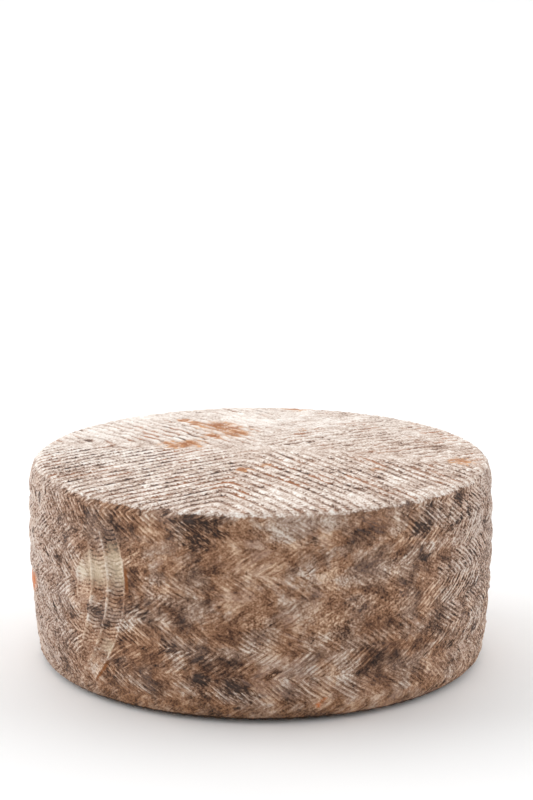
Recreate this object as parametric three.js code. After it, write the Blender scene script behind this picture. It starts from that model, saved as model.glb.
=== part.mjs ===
// A wheel of pressed, cured cheese: one solid, standing on its flat base.
// Units are millimetres, +Z is up and the base's centre is the origin.
import * as THREE from "three";

// Overall size
const widestRadius = 110;
const widestLevel = 60; // height at which the wheel bulges most
const rimHeight = 96; // height of the edge between the side and the top
const domeRise = 3; // the top's middle stands this far above its edge
const barrelDrop = 4.7; // how much smaller the radius is at the base's level

// Rounded edges
const rimRound = 5;
const baseRound = 8;

// Rows pressed into the side by the braided belt that is wound round the curd
const firstSeamBelowRim = 3.5;
const rowHeight = 11.9;
const seamDepth = 0.5;

// Fineness of the mesh
const stepsAround = 60;
const stepsPerRow = 3;
const stepsPerEdge = 4;
const stepsOnDome = 3;

// Radius of the side at height z, with the rows' shallow seams
function sideRadius(z) {
  const fromWidest = (z - widestLevel) / widestLevel;
  const rows = (rimHeight - firstSeamBelowRim - z) / rowHeight;
  const seam = seamDepth * (1 - Math.abs(Math.sin(Math.PI * rows)));
  return widestRadius - barrelDrop * fromWidest ** 2 - seam;
}

// A quarter circle from angle `from` to `to`, both included
function edgeArc(centreRadius, centreHeight, round, from, to) {
  const points = [];
  for (let step = 0; step <= stepsPerEdge; step++) {
    const angle = from + ((to - from) * step) / stepsPerEdge;
    const r = centreRadius + round * Math.cos(angle);
    const z = centreHeight + round * Math.sin(angle);
    points.push(new THREE.Vector2(r, z));
  }
  return points;
}

// Levels of the side between its two rounded edges, each seam among them
function sideLevels(low, high) {
  const step = rowHeight / stepsPerRow;
  const levels = [];
  for (let z = rimHeight - firstSeamBelowRim; z > low; z -= step) {
    if (z < high) levels.unshift(z);
  }
  return levels.filter((z) => z - low > step / 4 && high - z > step / 4);
}

// The wheel's half section, from the axis at the base round to the axis at the top
function wheelProfile() {
  const sideTop = rimHeight - rimRound;
  const topRadius = sideRadius(sideTop) - rimRound;
  const baseRadius = sideRadius(baseRound) - baseRound;
  const base = edgeArc(baseRadius, baseRound, baseRound, -Math.PI / 2, 0);
  const side = sideLevels(baseRound, sideTop).map((z) => new THREE.Vector2(sideRadius(z), z));
  const rim = edgeArc(topRadius, sideTop, rimRound, 0, Math.PI / 2);
  const dome = [];
  for (let step = stepsOnDome - 1; step >= 0; step--) {
    const share = step / stepsOnDome;
    dome.push(new THREE.Vector2(topRadius * share, rimHeight + domeRise * (1 - share ** 2)));
  }
  return [new THREE.Vector2(0, 0), ...base, ...side, ...rim, ...dome];
}

// A lathe turns its profile about Y, so the wheel is tipped up to stand along Z
const wheelGeometry = new THREE.LatheGeometry(wheelProfile(), stepsAround);
wheelGeometry.rotateX(Math.PI / 2);

const rindMaterial = new THREE.MeshStandardMaterial({ color: 0xb59a84, roughness: 0.85, metalness: 0 });
const wheel = new THREE.Mesh(wheelGeometry, rindMaterial);
wheel.name = "cheese_wheel";

const cheese = new THREE.Group();
cheese.add(wheel);

export default cheese;
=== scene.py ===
"""The looks of a wheel of pressed, cured cheese: its rind, its floor, the light and the camera."""
import math

import bmesh
import bpy
import numpy as np
from mathutils import Matrix, Vector, geometry


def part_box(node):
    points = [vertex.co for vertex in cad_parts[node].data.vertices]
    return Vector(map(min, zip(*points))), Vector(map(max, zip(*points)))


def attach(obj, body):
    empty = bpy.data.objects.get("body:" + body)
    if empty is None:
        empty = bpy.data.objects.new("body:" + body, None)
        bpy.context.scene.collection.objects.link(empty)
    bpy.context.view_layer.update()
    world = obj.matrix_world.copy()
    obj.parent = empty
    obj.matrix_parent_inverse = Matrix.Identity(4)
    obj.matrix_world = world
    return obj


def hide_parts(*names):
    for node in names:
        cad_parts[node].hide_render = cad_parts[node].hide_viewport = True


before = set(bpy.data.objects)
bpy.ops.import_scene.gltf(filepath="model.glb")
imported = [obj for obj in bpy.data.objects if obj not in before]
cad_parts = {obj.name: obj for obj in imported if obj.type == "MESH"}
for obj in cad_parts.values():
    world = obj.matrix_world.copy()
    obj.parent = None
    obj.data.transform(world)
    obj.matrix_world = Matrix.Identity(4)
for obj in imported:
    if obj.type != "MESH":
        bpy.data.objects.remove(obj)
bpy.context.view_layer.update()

low_corner, high_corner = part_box("cheese_wheel")

MM = 0.001  # this script's shapes and patterns are in millimetres, with the origin under the wheel's centre

# The wheel's outline, as its solid has it
WIDEST_RADIUS = (high_corner[0] - low_corner[0]) / 2 / MM
WHEEL_HEIGHT = high_corner[2] / MM
DOME_RISE = 3
RIM_HEIGHT = WHEEL_HEIGHT - DOME_RISE
WIDEST_LEVEL = 60
BARREL_DROP = 4.7
RIM_ROUND = 5
BASE_ROUND = 8

# The braided belt's print on the side: level rows of slanting cords, the slant turned from row to row
ROW_HEIGHT = 11.9
FIRST_SEAM = RIM_HEIGHT - 3.5
CORDS_AROUND = 198
CORDS_PER_ROW = 4.7  # cords that one cord passes, sideways, while it crosses its row

# The carved boards' print on the top and the underside: ridges that meet in chevrons
RIDGE_PITCH = 5.05
TOP_TURN = math.radians(-10.5)
TOP_CENTRE = (-3.0, 1.0)
BASE_TURN = math.radians(24)
BASE_CENTRE = (2.0, -1.5)
CHEVRON_ROUND = 2.2

# The end of the strap that held the belt, printed on the front left: three columns of fine ribs
STRAP_WIDTH = 29.5
STRAP_EDGE = math.radians(-33)
STRAP_LEVEL = 38  # depth under the rim at which the strap's right edge is furthest to the right
STRAP_BOW = math.radians(0.005)
STRAP_COLUMN = 9.8
STRAP_TOP = 10  # depths under the rim between which the strap's print lies
STRAP_BOTTOM = 88
RIB_PITCH = 1.9
RINGS_ADDED_FOR_RIBS = 4

# Fineness of the rind's mesh
STEPS_PER_CORD = 4
STEPS_PER_ROW = 5
STEPS_PER_RIDGE = 4
TOP_RING = 99.0
BASE_RING = 93.0

# Sizes of the cloudy noises that the relief and the colours share
CLOUD_SIZE = 34
MOTTLE_SIZE = 9
CRUMB_SIZE = 3.2

PATCH_SQUASH = 1.35  # a patch of mould or stain is this much wider than it is tall
PATCH_STRAY = 13  # how far a patch's outline strays

TURN = 2 * math.pi


# ---------------------------------------------------------------- node trees written as expressions


class Value:
    """One output of a node. Sums and products of values add the Math nodes that work them out."""

    def __init__(self, graph, socket):
        self.graph = graph
        self.socket = socket

    def __add__(self, other):
        return self.graph.maths("ADD", self, other)

    def __radd__(self, other):
        return self.graph.maths("ADD", other, self)

    def __sub__(self, other):
        return self.graph.maths("SUBTRACT", self, other)

    def __rsub__(self, other):
        return self.graph.maths("SUBTRACT", other, self)

    def __mul__(self, other):
        return self.graph.maths("MULTIPLY", self, other)

    def __rmul__(self, other):
        return self.graph.maths("MULTIPLY", other, self)

    def __truediv__(self, other):
        return self.graph.maths("DIVIDE", self, other)

    def __rtruediv__(self, other):
        return self.graph.maths("DIVIDE", other, self)

    def __pow__(self, other):
        return self.graph.maths("POWER", self, other)

    def __neg__(self):
        return self.graph.maths("MULTIPLY", self, -1)

    def __abs__(self):
        return self.graph.maths("ABSOLUTE", self)


class Graph:
    """A shader or geometry node tree, and short ways to add nodes to it."""

    def __init__(self, tree):
        self.tree = tree

    def node(self, kind, settings=(), inputs=(), output=0):
        """Adds any node: its settings are made first, then its sockets are set or linked."""
        made = self.tree.nodes.new(kind)
        for name, setting in dict(settings).items():
            if name == "stops":
                set_stops(made.color_ramp, setting)
            else:
                setattr(made, name, setting)
        for name, value in dict(inputs).items():
            if isinstance(value, Value):
                self.tree.links.new(value.socket, made.inputs[name])
            else:
                made.inputs[name].default_value = value
        return Value(self, made.outputs[output])

    def maths(self, operation, first, second=0.0):
        return self.node("ShaderNodeMath", {"operation": operation}, {0: first, 1: second})

    def vector(self, x, y, z):
        return self.node("ShaderNodeCombineXYZ", inputs={"X": x, "Y": y, "Z": z})

    def noise(self, place, size, detail=3.0, roughness=0.55, output=0):
        """Cloudy noise from 0 to 1 whose largest features are about `size` millimetres."""
        inputs = {"Vector": place, "Scale": 1 / size, "Detail": detail, "Roughness": roughness}
        return self.node("ShaderNodeTexNoise", inputs=inputs, output=output)

    def vectors(self, operation, first, second, output=0):
        return self.node("ShaderNodeVectorMath", {"operation": operation}, {0: first, 1: second}, output)

    def scattered(self, place, size):
        """Distance to the nearest of scattered points about `size` apart, in millimetres."""
        return self.node("ShaderNodeTexVoronoi", inputs={"Vector": place, "Scale": 1 / size}) * size

    def ramp(self, value, stops):
        """A colour from a list of (position, colour) stops."""
        return self.node("ShaderNodeValToRGB", {"stops": stops}, {"Fac": value})

    def smooth(self, value, start, end):
        """0 before start, 1 after end, and a soft step between them."""
        inputs = {"Value": value, "From Min": start, "From Max": end}
        return self.node("ShaderNodeMapRange", {"interpolation_type": "SMOOTHSTEP"}, inputs)

    def lay(self, under, over, share, blend="MIX"):
        """The colour `under` with `over` laid on it by share, or mixed into it by another blend."""
        settings = {"data_type": "RGBA", "clamp_factor": True, "blend_type": blend}
        return self.node("ShaderNodeMix", settings, {0: share, 6: under, 7: over}, output=2)


def set_stops(ramp, stops):
    """Gives a colour ramp its (position, colour) stops."""
    while len(ramp.elements) < len(stops):
        ramp.elements.new(1.0)
    for element, (position, colour) in zip(ramp.elements, stops):
        element.position = position
        element.color = colour


def rgb(red, green, blue):
    """A linear colour from the 0 to 255 values that a paint card gives."""
    card = np.array([red, green, blue]) / 255
    linear = np.where(card <= 0.04045, card / 12.92, ((card + 0.055) / 1.055) ** 2.4)
    return (*map(float, linear), 1.0)


def sine(angle):
    return angle.graph.maths("SINE", angle) if isinstance(angle, Value) else np.sin(angle)


def root(value):
    return value.graph.maths("SQRT", value) if isinstance(value, Value) else np.sqrt(value)


def back_and_forth(value):
    """Goes from 0 to 1 and back as value goes from 0 to 2, and so on."""
    if isinstance(value, Value):
        return value.graph.maths("PINGPONG", value, 1.0)
    return 1 - np.abs(np.mod(value, 2) - 1)


def within(value, lowest, highest):
    if isinstance(value, Value):
        raised = value.graph.maths("MAXIMUM", value, lowest)
        return value.graph.maths("MINIMUM", raised, highest)
    return np.clip(value, lowest, highest)


# ---------------------------------------------------------------- the prints, for numbers and for nodes alike


def seam_sway(angle, height):
    """How far the belt's rows stray up or down, round the wheel, fading out towards its edges."""
    sway = 0.7 * sine(2 * angle + 0.6) + 0.45 * sine(5 * angle + 2.1) + 0.25 * sine(9 * angle + 4)
    return sway * within((height - BASE_ROUND) / 15, 0, 1) * within((RIM_HEIGHT - height) / 12, 0, 1)


def row_number(angle, height):
    """0 at the highest seam and 1 more at each seam below it."""
    return (FIRST_SEAM - height + seam_sway(angle, height)) / ROW_HEIGHT


def cord_sway(angle, row):
    """How far the cords stray sideways, in cords."""
    return 0.3 * sine(7 * angle + 1.9 * row) + 0.14 * sine(23 * angle - 3.1 * row + 1)


def board_sway(x, y):
    """How far the board's ridges stray, as (x, y)."""
    sway_x = 0.75 * sine(y / 14 + 1) + 0.3 * sine(y / 4.7 + x / 11 + 2)
    sway_y = 0.75 * sine(x / 17 + 0.5) + 0.3 * sine(x / 5.3 - y / 13)
    return sway_x, sway_y


def rounded_fold(distance):
    """Distance from a fold line, with the fold's point rounded off."""
    return root(distance * distance + CHEVRON_ROUND**2) - CHEVRON_ROUND


def board_place(x, y, centre, turn):
    """(across, along) the board's ridges, in millimetres. Across is a whole pitch from ridge to ridge."""
    sway_x, sway_y = board_sway(x, y)
    from_x = x - sway_x - centre[0]
    from_y = y - sway_y - centre[1]
    first = rounded_fold(from_x * math.cos(turn) + from_y * math.sin(turn))
    second = rounded_fold(from_y * math.cos(turn) - from_x * math.sin(turn))
    return (first - second) / math.sqrt(2), (first + second) / math.sqrt(2)


# ---------------------------------------------------------------- the rind's mesh, before its relief


def side_radius(height):
    """The barrelled side's radius, without its relief."""
    return WIDEST_RADIUS - BARREL_DROP * ((height - WIDEST_LEVEL) / WIDEST_LEVEL) ** 2


def dome_height(radius):
    """The domed top's height, without its relief."""
    edge = side_radius(RIM_HEIGHT - RIM_ROUND) - RIM_ROUND
    return RIM_HEIGHT + DOME_RISE * (1 - np.minimum(radius / edge, 1) ** 2)


def quarter_round(centre_radius, centre_height, size, start, end, steps):
    """Points of an arc of radius `size`, both ends included."""
    angles = np.linspace(start, end, steps + 1)
    return [(centre_radius + size * math.cos(a), centre_height + size * math.sin(a)) for a in angles]


def outline():
    """(radius, height) of each ring of the mesh, from the underside's ring round to the top's."""
    side_top = RIM_HEIGHT - RIM_ROUND
    base_edge = side_radius(BASE_ROUND) - BASE_ROUND
    top_edge = side_radius(side_top) - RIM_ROUND
    under = [(r, 0.0) for r in np.linspace(BASE_RING, base_edge, 5)[:-1]]
    base = quarter_round(base_edge, BASE_ROUND, BASE_ROUND, -math.pi / 2, 0, 7)
    rim = quarter_round(top_edge, side_top, RIM_ROUND, 0, math.pi / 2, 6)
    top = [(r, dome_height(r)) for r in np.linspace(top_edge, TOP_RING, 5)[1:]]
    step = ROW_HEIGHT / STEPS_PER_ROW
    levels = FIRST_SEAM - step * np.arange(0, 100)
    levels = levels[(levels > BASE_ROUND + step / 3) & (levels < side_top - step / 3)][::-1]
    side = [(side_radius(z), z) for z in levels]
    return np.array(under + base + side + rim + top)


def band_points():
    """Points of the rings, as an array of ring, column and (x, y, z). The columns follow the cords."""
    rings = outline()
    columns = np.arange(CORDS_AROUND * STEPS_PER_CORD) / STEPS_PER_CORD
    points = np.empty((len(rings), len(columns), 3))
    for ring, (radius, level) in enumerate(rings):
        row = (FIRST_SEAM - level) / ROW_HEIGHT
        angle = columns * TURN / CORDS_AROUND
        for _ in range(3):
            cords = columns + CORDS_PER_ROW * back_and_forth(row) - cord_sway(angle, row)
            angle = cords * TURN / CORDS_AROUND
        height = level + seam_sway(angle, level)
        points[ring] = np.stack([radius * np.sin(angle), -radius * np.cos(angle), height], axis=1)
    return points


def board_points(centre, turn, reach, along_steps):
    """Points (x, y) on, between and along a board's ridges, out to the radius `reach`."""
    across_step = RIDGE_PITCH / STEPS_PER_RIDGE
    along_step = RIDGE_PITCH / along_steps
    count = int((reach + 12) / across_step)
    points = []
    for line in range(-count, count + 1):
        across = line * across_step
        along = np.arange(0, reach + 12, along_step)
        along = np.append(along[along > abs(across) + along_step / 4], abs(across))
        folds = [(along + across) / math.sqrt(2), (along - across) / math.sqrt(2)]
        first, second = (np.sqrt((fold + CHEVRON_ROUND) ** 2 - CHEVRON_ROUND**2) for fold in folds)
        for mirror_x in (1, -1):
            for mirror_y in (1, -1):
                points.append(np.stack([first * mirror_x, second * mirror_y], axis=1))
    points = np.unique(np.concatenate(points).round(4), axis=0)
    flat_x = centre[0] + points[:, 0] * math.cos(turn) - points[:, 1] * math.sin(turn)
    flat_y = centre[1] + points[:, 0] * math.sin(turn) + points[:, 1] * math.cos(turn)
    x, y = flat_x, flat_y
    for _ in range(4):
        sway_x, sway_y = board_sway(x, y)
        x, y = flat_x + sway_x, flat_y + sway_y
    keep = np.hypot(x, y) < reach - across_step * 0.6
    return np.stack([x, y], axis=1)[keep]


def fill_ring(ring, inner):
    """Triangles, as indices into ring + inner, that fill a ring of points (x, y) through inner points."""
    points = [Vector(p) for p in np.concatenate([ring, inner])]
    border = [list(range(len(ring)))]
    made, _, faces, origins, _, _ = geometry.delaunay_2d_cdt(points, [], border, 1, 1e-6)
    source = [origin[0] for origin in origins]
    assert len(made) == len(points)
    return [[source[corner] for corner in face] for face in faces]


def rind_mesh():
    """The whole skin as one closed mesh with a smooth surface, laid out ready for its relief."""
    band = band_points()
    rings, columns = band.shape[:2]
    index = np.arange(rings * columns).reshape(rings, columns)
    beside = np.roll(index, -1, axis=1)
    quads = np.stack([index[:-1], beside[:-1], beside[1:], index[1:]], axis=-1).reshape(-1, 4)
    points = [band.reshape(-1, 3)]
    faces = quads.tolist()
    start = rings * columns
    for ring, centre, turn, reach, along_steps, up in (
        (-1, TOP_CENTRE, TOP_TURN, TOP_RING, STEPS_PER_RIDGE, True),
        (0, BASE_CENTRE, BASE_TURN, BASE_RING, STEPS_PER_RIDGE // 2, False),
    ):
        inner = board_points(centre, turn, reach, along_steps)
        heights = dome_height(np.hypot(*inner.T)) if up else np.zeros(len(inner))
        names = np.concatenate([index[ring], start + np.arange(len(inner))])
        for face in fill_ring(band[ring, :, :2], inner):
            corners = [int(names[corner]) for corner in face]
            faces.append(corners if up else corners[::-1])
        points.append(np.column_stack([inner, heights]))
        start += len(inner)
    mesh = bpy.data.meshes.new("rind")
    mesh.from_pydata((np.concatenate(points) * MM).tolist(), [], faces)
    mesh.update()
    return mesh


def lay_out_colours(mesh):
    """A UV map for the baked colours: the top and the underside as discs, the side in two long strips."""
    rings = len(outline())
    columns = CORDS_AROUND * STEPS_PER_CORD
    uvs = np.empty((len(mesh.loops), 2))
    vertices = np.empty(len(mesh.loops), dtype=int)
    mesh.loops.foreach_get("vertex_index", vertices)
    places = np.empty(len(mesh.vertices) * 3)
    mesh.vertices.foreach_get("co", places)
    places = places.reshape(-1, 3) / MM
    band_loops = (rings - 1) * columns * 4
    ring, column = np.divmod(vertices[:band_loops].reshape(-1, 4), columns)
    column = np.where((column == 0) & (column.max(axis=1, keepdims=True) > columns / 2), columns, column)
    strip = (column.min(axis=1, keepdims=True) >= columns / 2).astype(int)
    lengths = np.hypot(*np.diff(outline(), axis=0).T)
    run = np.concatenate([[0], np.cumsum(lengths)]) / lengths.sum()
    uvs[:band_loops, 0] = (0.005 + 0.99 * (column - strip * columns / 2) / (columns / 2)).ravel()
    uvs[:band_loops, 1] = (0.005 + 0.24 * run[ring] + 0.25 * strip).ravel()
    flat = places[vertices[band_loops:]]
    is_top = flat[:, 2] > RIM_HEIGHT / 2
    across = np.where(is_top, 0.245 / TOP_RING, 0.245 / BASE_RING)
    uvs[band_loops:, 0] = np.where(is_top, 0.25, 0.75) + flat[:, 0] * across
    uvs[band_loops:, 1] = 0.75 + flat[:, 1] * across
    layer = mesh.uv_layers.new(name="OFBake")
    layer.uv.foreach_set("vector", uvs.ravel())


def refine_strap(mesh):
    """Adds rings to the part of the side where the strap's end is printed, for its fine ribs."""
    work = bmesh.new()
    work.from_mesh(mesh)
    chosen = []
    for edge in work.edges:
        middle = (edge.verts[0].co + edge.verts[1].co) / 2 / MM
        drop = abs(edge.verts[0].co.z - edge.verts[1].co.z) / MM
        depth = RIM_HEIGHT - middle.z
        if drop < ROW_HEIGHT / STEPS_PER_ROW / 2 or not STRAP_TOP < depth < STRAP_BOTTOM - 4 or middle.y > 0:
            continue
        across = strap_across(math.atan2(middle.x, -middle.y), depth)
        if -STRAP_WIDTH - 1 < across < 1.5:
            chosen.append(edge)
    bmesh.ops.subdivide_edges(work, edges=chosen, cuts=RINGS_ADDED_FOR_RIBS, use_grid_fill=True)
    work.to_mesh(mesh)
    work.free()


def strap_across(angle, depth):
    """Millimetres to the right of the strap's right edge, so its own points are below zero."""
    from_level = depth - STRAP_LEVEL
    return (angle - STRAP_EDGE + from_level * from_level * STRAP_BOW) * WIDEST_RADIUS


# ---------------------------------------------------------------- a point of the rind in the prints


class Rind:
    """Where the points of the rind lie in the prints, in millimetres, as values in a node tree."""

    def __init__(self, graph, place, raggedness):
        self.graph = graph
        self.place = place
        axes = graph.tree.nodes.new("ShaderNodeSeparateXYZ")
        graph.tree.links.new(place.socket, axes.inputs[0])
        self.x, self.y, self.height = (Value(graph, socket) for socket in axes.outputs)
        self.angle = graph.maths("ARCTAN2", self.x, -self.y)
        self.depth = RIM_HEIGHT - self.height
        self.cloud = graph.noise(place, CLOUD_SIZE, 3)
        self.mottle = graph.noise(place, MOTTLE_SIZE, 4, 0.6)
        self.crumb = graph.noise(place, CRUMB_SIZE, 3, 0.6)
        self.row = row_number(self.angle, self.height)
        self.lane = graph.maths("FLOOR", self.row + (self.crumb - 0.5) * raggedness)
        self.cord = self.cord_in_lane()
        self.top_across, self.top_along = board_place(self.x, self.y, TOP_CENTRE, TOP_TURN)
        self.base_across, _ = board_place(self.x, self.y, BASE_CENTRE, BASE_TURN)
        self.strap = strap_across(self.angle, self.depth)
        self.wear = self.how_worn()
        self.top_print = self.how_printed()

    def cord_in_lane(self):
        """The cord's number in this point's own row, carried straight on as far as the row goes."""
        odd = self.lane - self.graph.maths("FLOOR", self.lane / 2) * 2
        down = self.row - self.lane
        fold = down + odd * (1 - down * 2)
        cord = self.angle * (CORDS_AROUND / TURN) - fold * CORDS_PER_ROW
        return cord + cord_sway(self.angle, self.row) + odd * 0.5

    def along_cords(self, stretch, apart=31.0):
        """A place for noise that is drawn out along the cords and differs from row to row."""
        turned = self.cord * (TURN / CORDS_AROUND)
        east = sine(turned) * WIDEST_RADIUS
        north = self.graph.maths("COSINE", turned) * WIDEST_RADIUS
        return self.graph.vector(east, north, self.height * stretch + self.lane * apart)

    def how_worn(self):
        """1 where the cords' print is crisp, and near 0 where handling has rubbed it smooth."""
        front = self.graph.maths("COSINE", self.angle - math.radians(2))
        rubbed = self.graph.smooth(front, 0.8, 0.97) * self.graph.smooth(self.depth, 70, 20)
        return within(self.cloud * 1.8 - 0.05 - rubbed * 0.6, 0.15, 1)

    def how_printed(self):
        """1 where the board's ridges are crisp on the top, and near 0 where they are broken or have faded."""
        graph = self.graph
        along = graph.vector(self.top_across, self.top_along * 0.3, self.x * 0.1)
        right = graph.smooth(self.x, 0, 50)
        broken = within(graph.noise(along, 5, 4, 0.65) * 3 - 0.75 - right * 0.05, 0.1, 1)
        fold = self.top_along - abs(self.top_across)
        faded = graph.smooth(fold + (self.crumb - 0.5) * 8, 12, 1) * graph.smooth(self.y, -55, -15)
        bleached = graph.smooth(self.y + (self.cloud - 0.5) * 90, 30, 90)
        return broken * (1 - faded * 0.75) * (1 - bleached * 0.5)

    def top_wander(self):
        """How far the ridges on the top stray, in millimetres. They stray most towards the right."""
        restless = self.graph.smooth(self.x, -20, 40) * 4 + 3
        return (self.mottle - 0.5) * 4 + (self.crumb - 0.5) * restless

    def strap_share(self):
        """1 on the strap's print and 0 off it. Its ends are rounded, the lower one more slanted."""
        graph = self.graph
        off = self.strap * self.strap
        left = graph.smooth(self.strap, -STRAP_WIDTH - 1, -STRAP_WIDTH + 1)
        right = 1 - graph.smooth(self.strap, -0.6, 0.8)
        upper = graph.smooth(self.depth - off * 0.026, STRAP_TOP, STRAP_TOP + 3)
        lower = 1 - graph.smooth(self.depth + off * 0.045, STRAP_BOTTOM - 6, STRAP_BOTTOM)
        return left * right * (upper * lower)

    def strap_border(self):
        """1 along the thin lines at the edges of the strap's columns."""
        return within(1.25 - back_and_forth(self.strap * (2 / STRAP_COLUMN)) * 5, 0, 1)

    def strap_ribs(self):
        """Goes from 0 to 1 and back from rib to rib, shifted a little from column to column."""
        column = self.graph.maths("FLOOR", self.strap / STRAP_COLUMN)
        from_middle = self.strap / STRAP_COLUMN - column - 0.5
        sag = from_middle * from_middle * 5 + self.strap * 0.06 + (self.mottle - 0.5) * 3
        return sine((self.depth + sag) * (TURN / RIB_PITCH) + column * 2) * 0.5 + 0.5

    def cord_wave(self, jitter=0.0):
        """1 along the narrow raised line between two cords, 0 in the hollow that a cord has left."""
        return 1 - back_and_forth((self.cord + jitter) * 2)

    def ridge_wave(self, across):
        """1 along the crest of a ridge and 0 along the groove beside it."""
        return self.graph.maths("COSINE", across * (TURN / RIDGE_PITCH)) * 0.5 + 0.5

    def seam_wave(self):
        """1 between two rows' seams and 0 on a seam."""
        return abs(sine(self.row * math.pi))

    def patches(self, place, spots, soft=0.6):
        """1 inside the nearest of some ragged patches, given as (x, y, z, radius), and 0 outside them."""
        graph = self.graph
        nearest = None
        for *middle, radius in spots:
            away = graph.vectors("DISTANCE", place, tuple(middle), output=1) / radius
            nearest = away if nearest is None else graph.maths("MINIMUM", nearest, away)
        return graph.smooth(nearest + (self.crumb - 0.5) * 0.8, 1 + soft / 2, 1 - soft)


# ---------------------------------------------------------------- relief


def relief_tree(sizes):
    """A geometry node tree that raises the prints on the rind's smooth surface."""
    tree = bpy.data.node_groups.new("rind_relief", "GeometryNodeTree")
    tree.interface.new_socket("Geometry", in_out="INPUT", socket_type="NodeSocketGeometry")
    tree.interface.new_socket("Geometry", in_out="OUTPUT", socket_type="NodeSocketGeometry")
    for name in sizes:
        tree.interface.new_socket(name, in_out="INPUT", socket_type="NodeSocketFloat")
    graph = Graph(tree)
    group = tree.nodes.new("NodeGroupInput")
    size = {name: Value(graph, group.outputs[name]) for name in sizes}

    position = graph.node("GeometryNodeInputPosition")
    place = graph.node("ShaderNodeVectorMath", {"operation": "SCALE"}, {0: position, "Scale": 1 / MM})
    rind = Rind(graph, place, 0.0)
    height = rind.height
    top_share = graph.smooth(height, RIM_HEIGHT - 2.6, RIM_HEIGHT - 0.8)
    inside = graph.smooth(height, RIM_HEIGHT - 1, RIM_HEIGHT + 0.35)
    base_share = 1 - graph.smooth(height, 0.3, 2.5)
    side_share = (1 - top_share) * graph.smooth(height, 1, 6)
    crumbs = (rind.crumb - 0.5) * size["Crumb height"]
    swell = (rind.mottle - 0.5) * size["Lump height"]

    strap = rind.strap_share()
    crest = rind.cord_wave()
    pressed = graph.noise(rind.along_cords(0.5), 5, 2)
    firm = within(pressed * 3 - 0.9, 0.1, 1) * rind.wear * rind.seam_wave() ** 0.5
    cords = crest * firm * (1 - strap * 0.95) * size["Cord height"]
    seams = (rind.seam_wave() - 1) * size["Seam depth"] * (1 - strap) * rind.wear
    ribs = rind.strap_ribs() * within(rind.mottle * 3 - 0.7, 0.2, 1)
    ladder = strap * (rind.strap_border() * 1.3 + ribs - 0.9) * size["Rib height"]
    lumps = swell + (rind.cloud - 0.5) * size["Lump height"] * 2
    side = side_share * (cords + seams + ladder + lumps + crumbs)

    ridges = rind.ridge_wave(rind.top_across + rind.top_wander()) * rind.top_print
    ridges = ridges * inside * size["Ridge height"]
    top = top_share * (ridges + crumbs * 2.2 + swell)
    grooves = (rind.ridge_wave(rind.base_across) - 1) * size["Ridge height"]
    base = base_share * (grooves + graph.maths("MINIMUM", crumbs, 0))

    normal = graph.node("GeometryNodeInputNormal")
    rise = (side + top + base) * MM
    offset = graph.node("ShaderNodeVectorMath", {"operation": "SCALE"}, {0: normal, "Scale": rise})
    geometry_in = Value(graph, group.outputs["Geometry"])
    moved = graph.node("GeometryNodeSetPosition", inputs={"Geometry": geometry_in, "Offset": offset})
    real = graph.node("GeometryNodeRealizeInstances", inputs={"Geometry": moved})
    dressed = graph.node("GeometryNodeSetMaterial", inputs={"Geometry": real, "Material": rind_material()})
    ending = tree.nodes.new("NodeGroupOutput")
    tree.links.new(dressed.socket, ending.inputs["Geometry"])
    return tree


def make_rind():
    """The rind as one object: its smooth mesh with the relief raised on it. Sizes are in millimetres."""
    sizes = {
        "Cord height": 0.9,
        "Seam depth": 0.35,
        "Rib height": 0.5,
        "Ridge height": 0.75,
        "Lump height": 1.1,
        "Crumb height": 0.6,
    }
    smooth = rind_mesh()
    lay_out_colours(smooth)
    refine_strap(smooth)
    blank = bpy.data.objects.new("rind_blank", smooth)
    bpy.context.scene.collection.objects.link(blank)
    modifier = blank.modifiers.new("relief", "NODES")
    tree = relief_tree(sizes)
    modifier.node_group = tree
    for item in tree.interface.items_tree:
        if item.name in sizes:
            modifier[item.identifier] = sizes[item.name]
    evaluated = blank.evaluated_get(bpy.context.evaluated_depsgraph_get())
    mesh = bpy.data.meshes.new_from_object(evaluated)
    bpy.data.objects.remove(blank)
    mesh.polygons.foreach_set("use_smooth", [True] * len(mesh.polygons))
    rind = bpy.data.objects.new("rind", mesh)
    bpy.context.scene.collection.objects.link(rind)
    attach(rind, "root")
    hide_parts("cheese_wheel")
    return rind


# ---------------------------------------------------------------- the rind's colours

# From the darkest hollow to the palest fluff, on the side and on the pressed faces
SIDE_TONES = [
    (0.0, rgb(36, 24, 19)),
    (0.2, rgb(82, 59, 47)),
    (0.38, rgb(126, 96, 77)),
    (0.5, rgb(151, 120, 99)),
    (0.62, rgb(173, 144, 124)),
    (0.8, rgb(203, 182, 166)),
    (1.0, rgb(234, 223, 212)),
]
TOP_TONES = [
    (0.0, rgb(52, 38, 34)),
    (0.18, rgb(112, 86, 72)),
    (0.34, rgb(160, 132, 114)),
    (0.5, rgb(198, 176, 161)),
    (0.64, rgb(219, 203, 192)),
    (0.8, rgb(237, 227, 218)),
    (1.0, rgb(250, 247, 241)),
]
SIDE_MIDDLE_TONE = 0.525
TOP_MIDDLE_TONE = 0.6
BASE_MIDDLE_TONE = 0.6

# Chalky bloom, and painted sheen on the top towards the back
CHALK_AND_SHEEN = rgb(240, 237, 232)
RUST = rgb(190, 122, 76)
STAIN = rgb(224, 170, 122)
DARK_STAIN = rgb(152, 94, 56)
# Painted shadow beside the strap's right edge
EDGE_SHADOW_BROWN = rgb(140, 84, 42)
ORANGE = rgb(206, 112, 44)
OCHRE = rgb(170, 122, 72)
WARM_TINT = rgb(255, 236, 216)
PINK = rgb(192, 164, 152)
ASH = rgb(192, 176, 168)
SLATE = rgb(62, 48, 41)
LILAC = rgb(142, 122, 114)
GREEN_CREAM = rgb(220, 204, 174)


def on_side(degrees, depth, radius):
    """A patch on the side, from its place round the wheel and its depth under the rim."""
    angle = math.radians(degrees)
    reach = WIDEST_RADIUS - 2
    return reach * math.sin(angle), -reach * math.cos(angle), (RIM_HEIGHT - depth) * PATCH_SQUASH, radius


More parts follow.
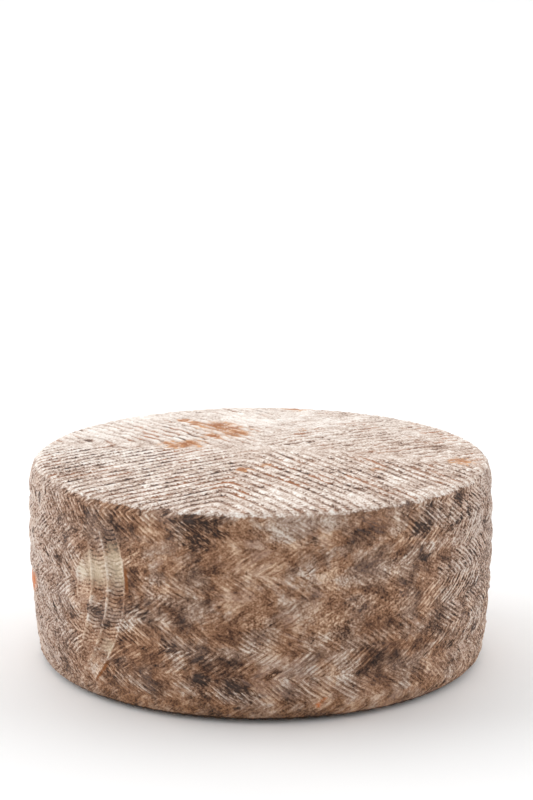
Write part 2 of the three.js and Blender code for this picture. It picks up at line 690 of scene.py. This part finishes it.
def on_top(x, y, radius):
    return x, y, (RIM_HEIGHT + DOME_RISE / 2) * PATCH_SQUASH, radius


BLACK_MOULD = [
    on_side(-12.2, 4, 6),
    on_side(-18, 6, 8.5),
    on_side(-15.5, 11, 8),
    on_side(-9.5, 9, 5),
    on_side(-23, 2, 2.6),
    on_side(-21.9, 62.5, 5),
    on_side(-14.6, 75.5, 3.8),
    on_side(-5, 82, 8),
    on_side(2.6, 71.5, 3),
    on_side(41, 13.5, 6),
    on_side(43, 6, 4),
    on_side(41.5, 25.6, 2.8),
    on_side(54.9, 14.5, 4.2),
    on_side(51, 17, 4.2),
    on_side(51, 9, 3),
    on_side(54, 4.5, 5),
    on_side(59.8, 13, 3.6),
    on_side(68.7, 22, 3.4),
    on_side(73, 22.7, 3),
    on_side(52.5, 72, 2.6),
    on_side(65.2, 71, 2.8),
    on_side(-73, 10.6, 3.2),
    on_side(-69.4, 10.6, 3),
    on_side(-72.4, 33, 2.4),
    on_side(-60, 59, 3),
    on_side(-66.4, 57.8, 2.8),
    on_side(-30, 46.5, 5.5),
    on_side(-28, 48, 4.5),
    on_side(-42.5, 51, 4.5),
    on_side(-39, 57, 3.5),
    on_side(12.5, 12.5, 3),
]
BROWN_MOULD = [
    on_side(-37.6, 18, 5.5),
    on_side(-42, 53, 6.5),
    on_side(-37, 55, 4.5),
    on_side(-50, 56, 4),
    on_side(-48.7, 74, 4),
    on_side(-10.2, 38, 6),
    on_side(-18, 38, 6.5),
    on_side(-5.2, 72.5, 12),
    on_side(-12, 67, 8),
    on_side(3, 79, 8),
    on_side(6.6, 81, 8),
    on_side(24.2, 11.6, 7),
    on_side(13, 35, 4),
    on_side(18.4, 54, 6),
    on_side(1.7, 53, 4),
    on_side(26.7, 66.5, 7.5),
    on_side(32.4, 53, 6),
    on_side(40.7, 12.5, 9),
    on_side(54, 5, 7),
    on_side(41.2, 25.6, 5.5),
    on_side(60.8, 47, 8),
    on_side(49, 61.5, 9),
    on_side(64.7, 70, 4),
    on_side(40.7, 80, 6),
    on_side(-56.6, 86, 6),
    on_side(-57, 33, 5),
    on_side(-25.5, 84, 9),
    on_side(-46, 8, 6),
    on_side(-31, 2.5, 5),
    on_side(-37, 4, 5),
]
PALE_FLUFF = [
    on_side(-32.2, 55, 5.5),
    on_side(-15, 82, 4.5),
    on_side(-37.6, 79, 4.5),
    on_side(3.6, 9.6, 9),
    on_side(10.5, 26, 5),
    on_side(-22.9, 37, 7),
    on_side(-0.8, 48, 6),
    on_side(-0.5, 58.5, 5),
    on_side(19.8, 33, 7),
    on_side(31.9, 26, 6),
    on_side(33.8, 13.5, 6.5),
    on_side(34.3, 25, 4.5),
    on_side(46.5, 10, 4),
    on_side(51, 22, 5),
    on_side(24, 42.5, 10),
    on_side(14, 46, 11),
    on_side(17, 52, 13),
    on_side(32, 45, 11),
    on_side(17, 30, 13),
    on_side(30, 30, 9),
    on_side(20, 72, 8),
    on_side(-30, 24, 8),
    on_side(-26, 33, 7),
    on_side(-57.6, 58, 4),
    on_side(-63.5, 58, 3),
    on_side(-70, 10, 13),
    on_side(-78, 30, 12),
    on_side(70, 3, 12),
    on_side(82, 8, 12),
    on_side(-43, 78, 6),
]
WARM_PATCHES = [
    on_side(-2.7, 22, 17),
    on_side(16, 46, 15),
    on_side(5, 60, 12),
    on_side(4.1, 16.5, 7),
    on_side(-24.3, 9, 12),
    on_side(-24, 76, 8),
    on_side(27, 7, 13),
    on_side(32, 62, 8),
    on_side(15, 82, 9),
    on_side(-35.5, 45, 6),
    on_side(-52, 5, 10),
    on_side(30, 42, 14),
    on_side(61, 83, 10),
    on_side(28, 82, 12),
    on_side(31.8, 53, 6),
    on_side(-54.7, 9, 3.5),
    on_side(-50.2, 55, 3),
]
ORANGE_PATCHES = [
    on_side(-75.5, 54.5, 6),
    on_side(-81, 57, 8),
    on_side(14.2, 86.5, 2.2),
]
STRAP_CREAM = [
    on_side(-34.5, 30, 10),
    on_side(-35.6, 25, 8),
    on_side(-41.5, 33, 10),
    on_side(-46, 34, 5),
    on_side(-37, 68, 6),
]
TOP_STAINS = [
    on_top(-21.5, 54, 12),
    on_top(-17, 44, 12),
    on_top(-12, 34, 10),
    on_top(-24, 27, 8),
    on_top(-36, 12, 9),
    on_top(-33, 60, 6),
    on_top(-45, 14, 6),
    on_top(-41, 7, 4.5),
    on_top(18, 101, 8),
    on_top(93.4, -13.5, 7),
    on_top(-39, 68, 5),
    on_top(2.7, -30, 4),
    on_top(-8.3, -39, 4.5),
    on_top(53.6, -36, 4),
    on_top(20.4, 42.6, 4),
    on_top(-34, 56, 4),
]
TOP_FLECKS = [
    on_top(55.8, 59, 3),
    on_top(75.7, 57, 3),
    on_top(44.7, 25, 2.8),
    on_top(-86, 24, 4),
    on_top(-92, 50, 5.5),
    on_top(-44.8, -24, 4.5),
    on_top(-15, -29, 3),
    on_top(-74.6, -26, 4),
    on_top(-63.6, -37, 3.5),
    on_top(-12.7, -49, 3.5),
    on_top(52.5, -50, 4),
    on_top(-31, 58, 3),
    on_top(-84, -52, 5),
    on_top(30, -62, 3),
    on_top(-96, -12, 5),
    on_top(-70, 12, 4),
]
TOP_GREY = [
    on_top(44, 88, 15),
    on_top(62, 78, 12),
    on_top(-30, 78, 9),
    on_top(-40, 40, 9),
    on_top(-88, -30, 16),
    on_top(80, 10, 12),
]
TOP_BLOOM = [
    on_top(-6, 70, 16),
    on_top(-82, 36, 14),
    on_top(34, 58, 13),
    on_top(-60, 78, 10),
    on_top(63, -56, 9),
    on_top(42, -84, 12),
    on_top(12, -84, 16),
    on_top(-14, -98, 12),
    on_top(72, -72, 9),
]


def rind_material():
    material = bpy.data.materials.new("natural_rind")
    material.use_nodes = True
    material.node_tree.nodes.clear()
    graph = Graph(material.node_tree)
    coordinates = graph.node("ShaderNodeTexCoord", output=3)
    place = graph.node("ShaderNodeVectorMath", {"operation": "SCALE"}, {0: coordinates, "Scale": 1 / MM})
    rind = Rind(graph, place, 0.4)
    warp = graph.noise(place, 7, 4, 0.65, output=1)
    strayed = graph.vectors("MULTIPLY", graph.vectors("SUBTRACT", warp, (0.5, 0.5, 0.5)), (PATCH_STRAY,) * 3)
    spread = graph.vectors("MULTIPLY", graph.vectors("ADD", place, strayed), (1, 1, PATCH_SQUASH))
    speck = graph.noise(place, 1.0, 2, 0.7)
    fibres = graph.noise(rind.along_cords(0.8), 1.3, 2, 0.6)
    pits = graph.smooth(graph.scattered(graph.vectors("ADD", place, strayed), 9), 0.9, 0.5)
    edge = rind.height + (rind.mottle - 0.5) * 3.5 + (speck - 0.5) * 1.5
    top_share = graph.smooth(edge, RIM_HEIGHT - 1.6, RIM_HEIGHT - 0.7)
    base_share = 1 - graph.smooth(edge, 0.2, 1.4)
    side = side_colour(rind, spread, speck, fibres, pits)
    face = graph.lay(side, face_colour(rind, spread, speck, pits), top_share)
    face = graph.lay(face, under_colour(rind, speck, pits), base_share)
    grain = speck * 0.6 + fibres * (1 - top_share) * 1.3 - pits * 1.2
    bump = graph.node("ShaderNodeBump", inputs={"Height": grain, "Strength": 0.8, "Distance": 0.5 * MM})
    inputs = {"Base Color": face, "Roughness": rind.mottle * 0.25 + 0.66, "Normal": bump}
    surface = graph.node("ShaderNodeBsdfPrincipled", inputs=inputs | {"Specular IOR Level": 0.3})
    ending = graph.tree.nodes.new("ShaderNodeOutputMaterial")
    graph.tree.links.new(surface.socket, ending.inputs["Surface"])
    return material


# A tone is a place on a list of tones, from 0 to 1. In the sums that make one, a number that multiplies a
# mark says how far the mark moves the tone. Most noises have 0.5 taken off, to darken as much as lighten.


def side_colour(rind, spread, speck, fibres, pits):
    """The colour of the side: tan to pinkish brown, with floury cords, moulds and the strap's paler print."""
    graph = rind.graph
    growth = graph.noise(spread, 26, 3)
    streaks = graph.noise(rind.along_cords(0.6), 5, 4, 0.6)
    crest = rind.cord_wave((streaks - 0.5) * 0.7 + (rind.crumb - 0.5) * 0.35)
    strap = rind.strap_share()
    patchy = graph.smooth(growth + (rind.mottle - 0.5) * 1.2, 0.4, 0.56) * 0.9 + 0.2
    right = graph.smooth(rind.x, 15, 70) * graph.smooth(rind.height, 60, 30)
    print_share = rind.wear * patchy * (1 - strap) * graph.smooth(rind.height, 4, 16) * (1 - right * 0.35)
    floury = graph.smooth(streaks + growth, 0.85, 1.15) * 1.2 + 0.25
    line = graph.smooth(crest, 0.62, 0.96) * floury - graph.smooth(crest, 0.36, 0.04)
    far_right = graph.smooth(rind.x, 60, 100)
    dashes = graph.smooth(graph.scattered(rind.along_cords(0.45), 3.6), 0.8, 0.4)
    behind = graph.smooth(rind.y, -25, 25)

    # Broad blotches, then grain, which is stronger away from the front, with the cords' print
    flank = graph.smooth(graph.maths("COSINE", rind.angle), 0.85, 0.35)
    tone = ((rind.cloud - 0.5) * 0.9 + (rind.mottle - 0.5) * 1.2) * (1.02 - flank * 0.5)
    tone = tone + (rind.crumb - 0.5) * 0.6 + (streaks - 0.5) * 0.7 * (1 - strap * 0.45)
    tone = tone + ((fibres - 0.5) * (1 - strap * 0.45) * 0.6 + (speck - 0.5) * 0.95) * (flank * 1.3 + 0.9)
    # Painted light: flank * 0.08 lightens the flanks, where the side lights fall. Painted shade: right * 0.05
    # darkens the lower right
    tone = tone + line * print_share * (0.22 + flank * 0.14) + flank * 0.08 - right * 0.05 + SIDE_MIDDLE_TONE
    tone = tone - dashes * graph.smooth(rind.mottle + rind.cloud, 0.8, 1.1) * (flank * 0.7 + 0.25)
    # Painted shade: the far right of the side is darker still
    tone = tone - far_right * 0.045

    # Moulds, and more of them at random round the back
    black = rind.patches(spread, BLACK_MOULD)
    brown = rind.patches(spread, BROWN_MOULD)
    brown = graph.maths("MAXIMUM", brown, behind * graph.smooth(growth, 0.56, 0.66))
    pale = rind.patches(spread, PALE_FLUFF)
    pale = graph.maths("MAXIMUM", pale, behind * graph.smooth(growth, 0.44, 0.34))
    tone = tone - black * (0.22 + flank * 0.14 + (0.5 - fibres) * 1.5) - brown * 0.13
    tone = tone + pale * (0.12 + (speck - 0.5) * 0.7)

    # The strap's print, with dark gaps between its ribs, and the shade towards the base
    cream = rind.patches(spread, STRAP_CREAM, 0.95) * strap
    border = rind.strap_border()
    gaps = graph.smooth(rind.strap_ribs() + (speck - 0.5) * 0.8, 0.55, 0.1) * (1 - border)
    unfilled = graph.smooth(rind.mottle * 0.6 + growth + (rind.crumb - 0.5) * 1.1, 0.7, 0.92)
    gaps = gaps * unfilled * graph.smooth(rind.depth, 78, 56)
    ladder = border * (rind.crumb * 0.5 - 0.04) - gaps * 0.36 + 0.1
    tone = tone + ladder * strap + cream * 0.2 - pits * 0.3
    tone = tone - graph.smooth(rind.height, 9, 3) * 0.06 - graph.smooth(rind.height, 3.2, 1.6) * 0.8
    colour = graph.ramp(tone, SIDE_TONES)

    # Tints laid over the tones
    hue = graph.noise(spread, 17, 3)
    warm = graph.maths("MAXIMUM", rind.patches(spread, WARM_PATCHES, 0.9), graph.smooth(hue, 0.44, 0.6))
    warm = warm * (1 - flank * 0.5) * (1 - cream)
    colour = graph.lay(colour, WARM_TINT, warm, "MULTIPLY")
    lilac = graph.smooth(hue + (streaks - 0.5) * 0.4, 0.47, 0.33) * graph.smooth(fibres, 0.65, 0.35)
    colour = graph.lay(colour, LILAC, lilac * 0.3)
    colour = graph.lay(colour, PINK, graph.smooth(streaks + rind.cloud, 1.04, 1.3) * 0.3)
    colour = graph.lay(colour, ASH, flank * graph.smooth(tone, 0.4, 0.65) * (0.5 - right * 0.4))
    colour = graph.lay(colour, SLATE, (black * 0.5 + brown * 0.1) * graph.smooth(fibres, 0.7, 0.4))
    colour = graph.lay(colour, GREEN_CREAM, cream * 0.5)
    ochre = graph.smooth(rind.height + (rind.mottle - 0.5) * 14, 15, 3)
    colour = graph.lay(colour, OCHRE, ochre * graph.smooth(speck, 0.4, 0.65) * 0.25)

    # A painted shadow in brown beside the strap's right edge, then the orange patches
    edge_shadow = graph.smooth(abs(rind.strap - 0.9), 1.5, 0.4)
    stretch = graph.smooth(abs(abs(rind.depth - 57) - 23), 8, 3)
    rough = graph.smooth(speck + rind.crumb, 0.7, 1.1)
    colour = graph.lay(colour, EDGE_SHADOW_BROWN, edge_shadow * stretch * (rough * 0.45 + 0.5))
    return graph.lay(colour, ORANGE, rind.patches(spread, ORANGE_PATCHES, 0.9) * (rough * 0.5 + 0.45))


def face_colour(rind, spread, speck, pits):
    """The colour of the top: pale ridges, and grooves that are brown, rusty or nearly black in places."""
    graph = rind.graph
    along = graph.vector(rind.top_across, rind.top_along * 0.25, rind.x * 0.05)
    runs = graph.noise(along, 5, 4, 0.65)
    wave = rind.ridge_wave(rind.top_across + rind.top_wander() + (speck - 0.5) * 2.6)
    inside = graph.smooth(rind.height, RIM_HEIGHT - 0.8, RIM_HEIGHT + 0.3)
    crisp = rind.top_print
    bloom = rind.patches(spread, TOP_BLOOM, 0.9)
    groove = graph.smooth(wave, 0.5, 0.08) * inside * (crisp * 0.85 + 0.15) * (1 - bloom * 0.75)
    lean = 0.6 - rind.x * 0.0012 - rind.y * 0.003
    depth = within(lean + (rind.cloud - 0.5) * 1.4 + (runs - 0.5) * 2.4, 0.1, 1)
    grey = rind.patches(spread, TOP_GREY, 0.9)
    flecks = rind.patches(spread, TOP_FLECKS)

    # Partly bloom, partly painted sheen: rind.y * 0.0005 makes the top lighter towards the back
    tone = (rind.mottle - 0.5) * 0.85 + (rind.crumb - 0.5) * 0.7 + (speck - 0.5) * 1.5 + rind.y * 0.0005
    tone = tone + (wave - 0.5) * crisp * 0.26 - groove * depth * 0.34 + (rind.cloud - 0.5) * 0.34
    tone = tone - graph.smooth(rind.x, 10, 60) * 0.03 + TOP_MIDDLE_TONE
    tone = tone - grey * 0.12 + bloom * 0.12 - flecks * (0.34 - wave * 0.2) - pits * 0.12
    colour = graph.ramp(tone, TOP_TONES)
    # Chalky bloom and painted sheen, laid on the top towards the back and the left
    chalk_and_sheen = graph.smooth(rind.y - rind.x * 0.4 + (rind.cloud - 0.5) * 90, -30, 70)
    colour = graph.lay(colour, CHALK_AND_SHEEN, chalk_and_sheen * graph.smooth(tone, 0.2, 0.5) * 0.24)
    rusty = graph.smooth(graph.noise(rind.place, 24, 2), 0.46, 0.6) * graph.smooth(runs, 0.42, 0.6)
    colour = graph.lay(colour, RUST, rusty * groove * 0.65)
    inky = graph.smooth(runs + rind.mottle * 0.5, 0.83, 0.93) * graph.smooth(rind.x - rind.y, 60, -60)
    colour = graph.lay(colour, SLATE, inky * groove * 0.75)
    stain = rind.patches(spread, TOP_STAINS, 0.9)
    ragged = graph.smooth(stain + (runs - 0.5) * 1.6 + (speck - 0.5) * 2.4 - wave * 0.4, 0, 0.8)
    colour = graph.lay(colour, STAIN, ragged * graph.smooth(stain, 0, 0.5) * (runs * 0.8 + 0.45))
    # A stain is darkest in its middle
    core = graph.smooth(stain + (rind.crumb - 0.5) * 2.2 + (speck - 0.5) * 2.4 - wave * 0.25, 0.25, 0.85)
    return graph.lay(colour, DARK_STAIN, core * stain * 0.95)


def under_colour(rind, speck, pits):
    """The colour of the underside: browner than the top, because it has lain on the shelf."""
    graph = rind.graph
    wave = rind.ridge_wave(rind.base_across + (rind.crumb - 0.5) * 2.4)
    tone = (rind.cloud - 0.5) * 0.8 + (rind.mottle - 0.5) * 0.6 + (rind.crumb - 0.5) * 0.5
    tone = tone + (speck - 0.5) * 0.6 + (wave - 0.5) * 0.22 - pits * 0.2 + BASE_MIDDLE_TONE
    colour = graph.ramp(tone, SIDE_TONES)
    return graph.lay(colour, OCHRE, graph.smooth(rind.cloud, 0.5, 0.65) * 0.35)


# ---------------------------------------------------------------- floor, light and camera

# The floor's flat part runs from its front to where it bends up into a wall. Lengths here are in metres
FLOOR_HALF_WIDTH = 9.0
FLOOR_FRONT = -9.0
BEND_START = 1.6
BEND_RADIUS = 1.2
WALL_HEIGHT = 5.0

SKY_STRENGTH = 0.6
WINDOWS = [  # name, place, width and height, watts
    ("window_behind", (0.0, 1.3, 2.2), (3.2, 2.0), 22.5),
    ("window_left", (-1.8, 0.35, 0.9), (1.8, 1.6), 28),
    ("window_right", (1.8, 0.35, 0.9), (1.8, 1.6), 18),
]

CAMERA_DISTANCE = 9.683 * WIDEST_RADIUS * MM
CAMERA_RISE = math.radians(16.17)  # how far the camera stands above the level of the wheel's middle
CAMERA_DIP = math.radians(12.23)
CAMERA_TURN = math.radians(-0.139)
CAMERA_ROLL = math.radians(0.128)
CAMERA_LENS = 99.4


def make_floor():
    """A pale sweep: flat under the wheel, and curved up into a wall a long way behind it."""
    bend = quarter_round(BEND_START, BEND_RADIUS, BEND_RADIUS, 0.1 - math.pi / 2, 0, 15)
    profile = [(FLOOR_FRONT, 0.0), (BEND_START, 0.0), *bend, (BEND_START + BEND_RADIUS, WALL_HEIGHT)]
    points = [(side, y, z) for y, z in profile for side in (-FLOOR_HALF_WIDTH, FLOOR_HALF_WIDTH)]
    faces = [(2 * i, 2 * i + 1, 2 * i + 3, 2 * i + 2) for i in range(len(profile) - 1)]
    mesh = bpy.data.meshes.new("floor")
    mesh.from_pydata(points, [], faces)
    mesh.polygons.foreach_set("use_smooth", [True] * len(faces))
    material = bpy.data.materials.new("pale_floor")
    material.use_nodes = True
    surface = material.node_tree.nodes["Principled BSDF"]
    surface.inputs["Base Color"].default_value = (0.93, 0.93, 0.93, 1)
    surface.inputs["Roughness"].default_value = 0.8
    mesh.materials.append(material)
    floor = bpy.data.objects.new("floor", mesh)
    bpy.context.scene.collection.objects.link(floor)


def add_soft_light(name, place, size, power):
    """A window's soft light, turned to the middle of the wheel."""
    light = bpy.data.lights.new(name, "AREA")
    light.shape = "RECTANGLE"
    light.size, light.size_y = size
    light.energy = power
    lamp = bpy.data.objects.new(name, light)
    lamp.location = place
    from_wheel = Vector(place) - Vector((0, 0, 0.05))
    lamp.rotation_euler = from_wheel.to_track_quat("Z", "Y").to_euler()
    bpy.context.scene.collection.objects.link(lamp)


def make_light():
    """An even white sky and three soft windows."""
    scene = bpy.context.scene
    scene.view_settings.view_transform = "Standard"
    world = bpy.data.worlds.new("soft_daylight")
    world.use_nodes = True
    world.node_tree.nodes["Background"].inputs["Color"].default_value = (1, 1, 1, 1)
    world.node_tree.nodes["Background"].inputs["Strength"].default_value = SKY_STRENGTH
    scene.world = world
    for window in WINDOWS:
        add_soft_light(*window)


def make_camera():
    """Looks at the wheel's front from a little above, with its axis just left of the middle."""
    centre = Vector((0, 0, RIM_HEIGHT / 2 * MM))
    outwards = Vector((0, -math.cos(CAMERA_RISE), math.sin(CAMERA_RISE)))
    camera = bpy.data.cameras.new("camera")
    camera.lens = CAMERA_LENS
    camera.sensor_width = 36
    holder = bpy.data.objects.new("camera", camera)
    holder.location = centre + CAMERA_DISTANCE * outwards
    aim = Matrix.Rotation(CAMERA_TURN, 4, "Z") @ Matrix.Rotation(math.pi / 2 - CAMERA_DIP, 4, "X")
    holder.rotation_euler = (aim @ Matrix.Rotation(CAMERA_ROLL, 4, "Z")).to_euler()
    bpy.context.scene.collection.objects.link(holder)
    bpy.context.scene.camera = holder


make_camera()
make_light()
make_floor()
make_rind()
